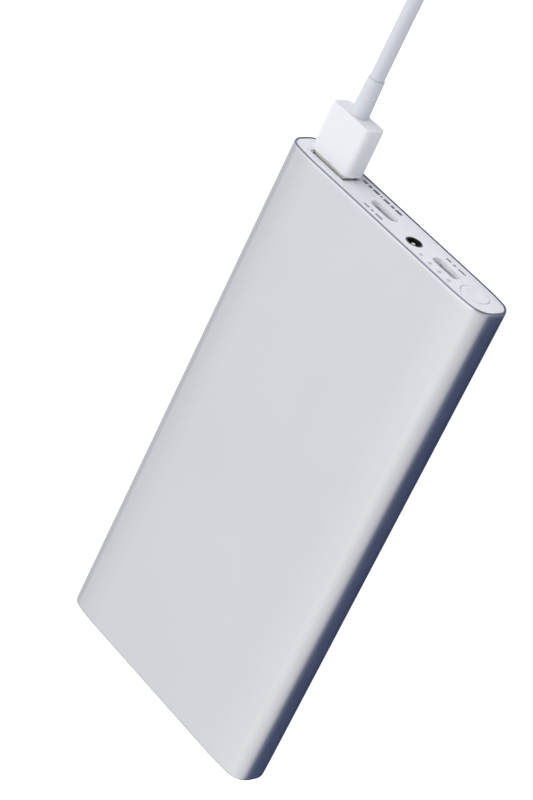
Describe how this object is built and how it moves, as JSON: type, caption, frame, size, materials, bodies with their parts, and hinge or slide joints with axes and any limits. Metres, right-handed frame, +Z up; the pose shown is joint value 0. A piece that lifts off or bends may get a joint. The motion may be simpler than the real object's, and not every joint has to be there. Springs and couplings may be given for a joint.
{
  "type": "power bank",
  "caption": "slim portable power bank in a metal sleeve, with charging ports, a round power button and charge lights on one end, and a coiled charging cable plugged in",
  "frame": {"origin": "under the middle of the bank, on the surface it lies on; the cable doesn't count", "axes": "+X across the width, towards the side with the plugged-in cable; +Y along the length, from the ports end to the plain end; +Z up, out of the broad face that lies uppermost"},
  "size_m": [0.075, 0.2955, 0.0134],
  "materials": {
    "sleeve_aluminium": "fine bead-blasted, anodised silver",
    "white_cap_plastic": "satin",
    "bracket_plastic": "matte",
    "adhesive_tape": "matte",
    "screw_steel": "satin",
    "connector_steel": "bright, nickel plated",
    "black_plastic": "satin",
    "white_insulator": "satin",
    "gold_contacts": "polished",
    "board_laminate": "satin solder mask",
    "ferrite": "matte",
    "capacitor_can": "satin",
    "chip_epoxy": "matte",
    "capacitor_ceramic": "satin",
    "insulating_film": "satin",
    "nickel_tab": "satin",
    "red_wire": "satin",
    "black_wire": "satin",
    "cell_foil": "satin laminated foil",
    "foam": "closed-cell foam",
    "clear_guide": "clear, slightly frosted",
    "led_lamp": "gloss",
    "plug_plastic": "satin, moulded white",
    "cable_jacket": "satin, white",
    "tie_strap": "soft hook-and-loop strap"
  },
  "bodies": {
    "bank": {"aluminium_sleeve": "sleeve_aluminium", "top_end_cap": "white_cap_plastic", "top_cap_adhesive": "adhesive_tape", "top_bracket": "bracket_plastic", "top_screws": "screw_steel", "bottom_end_cap": "white_cap_plastic", "bottom_cap_adhesive": "adhesive_tape", "bottom_bracket": "bracket_plastic", "bottom_screws": "screw_steel", "tact_switch_body": "black_plastic", "led_chips": "led_lamp", "led_light_guide": "clear_guide", "usb_a_socket_shell": "connector_steel", "usb_a_socket_tongue": "white_insulator", "usb_a_socket_contacts": "gold_contacts", "usb_c_inner_socket_shell": "connector_steel", "usb_c_inner_socket_tongue": "white_insulator", "usb_c_outer_socket_shell": "connector_steel", "usb_c_outer_socket_tongue": "white_insulator", "dc_jack_body": "black_plastic", "dc_jack_pin": "connector_steel", "main_board": "board_laminate", "board_screws": "screw_steel", "power_inductor": "ferrite", "bulk_capacitors": "capacitor_can", "controller_chips": "chip_epoxy", "ceramic_capacitors": "capacitor_ceramic", "board_insulator": "insulating_film", "protection_board": "board_laminate", "cell_tabs": "nickel_tab", "positive_lead": "red_wire", "negative_lead": "black_wire", "cell_lower": "cell_foil", "cell_upper": "cell_foil", "cell_base_tape": "adhesive_tape", "cell_middle_tape": "adhesive_tape", "cell_foam_pad": "foam", "end_foam_block": "foam"},
    "button": {"power_button": "white_cap_plastic"},
    "switch_plunger": {"tact_switch_plunger": "white_insulator"},
    "cable": {"plug_housing": "plug_plastic", "plug_shell": "connector_steel", "plug_insert": "white_insulator", "plug_contacts": "gold_contacts", "plug_strain_relief": "cable_jacket", "cable_run": "cable_jacket", "cable_coil": "cable_jacket", "cable_tail": "cable_jacket", "cable_tie": "tie_strap", "far_strain_relief": "cable_jacket", "far_connector_housing": "plug_plastic", "far_connector_tip": "connector_steel", "far_connector_insert": "black_plastic"}
  },
  "joints": [
    {"name": "power_button_press", "type": "slide", "parent": "bank", "child": "button", "axis": [0, 1, 0], "range_m": [0, 0.0004], "stiffness_N_per_m": 5000},
    {"name": "switch_plunger_press", "type": "slide", "parent": "bank", "child": "switch_plunger", "axis": [0, 1, 0], "range_m": [0, 0.0004]},
    {"name": "usb_plug_pull", "type": "slide", "parent": "bank", "child": "cable", "axis": [0, -1, 0], "range_m": [0, 0.012]}
  ],
  "couplings": [
    {"joint": "switch_plunger_press", "follows": "power_button_press", "ratio": 1}
  ]
}
